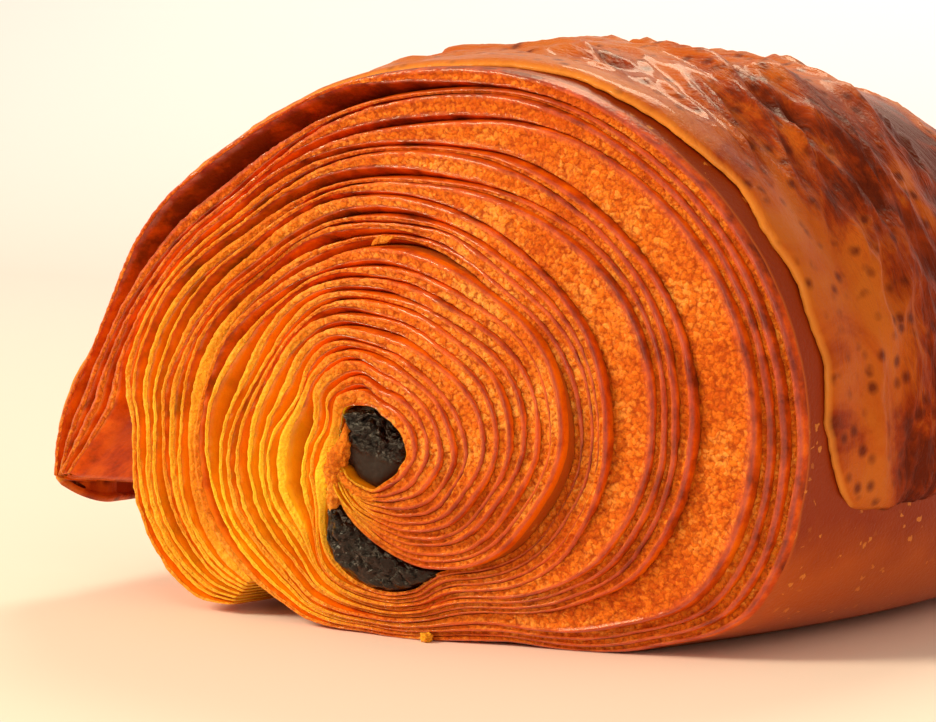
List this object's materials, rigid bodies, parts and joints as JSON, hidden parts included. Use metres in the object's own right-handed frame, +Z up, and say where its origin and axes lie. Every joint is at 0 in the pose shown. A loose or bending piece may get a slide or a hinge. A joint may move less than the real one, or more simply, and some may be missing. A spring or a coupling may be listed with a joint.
{
  "type": "pain au chocolat",
  "caption": "Baked laminated pastry roll with a spiral of flaky leaves at each end, a glazed wrinkled crust and chocolate sticks running through it.",
  "frame": {"origin": "middle of the bounding box, at the surface that the pastry rests on", "axes": "+Z up; +Y along the roll, away from the end the picture shows; +X to the right when looking at that end"},
  "size_m": [0.0892, 0.0911, 0.0548],
  "materials": {
    "baked_dough": "golden to red-brown baked laminated dough, glossy egg glaze on the crust",
    "chocolate": "near-black baked dark chocolate, bubbled and glossy"
  },
  "bodies": {
    "root": {"pastry": "baked_dough", "chocolate_stick_upper": "chocolate", "chocolate_stick_lower": "chocolate"}
  },
  "joints": []
}
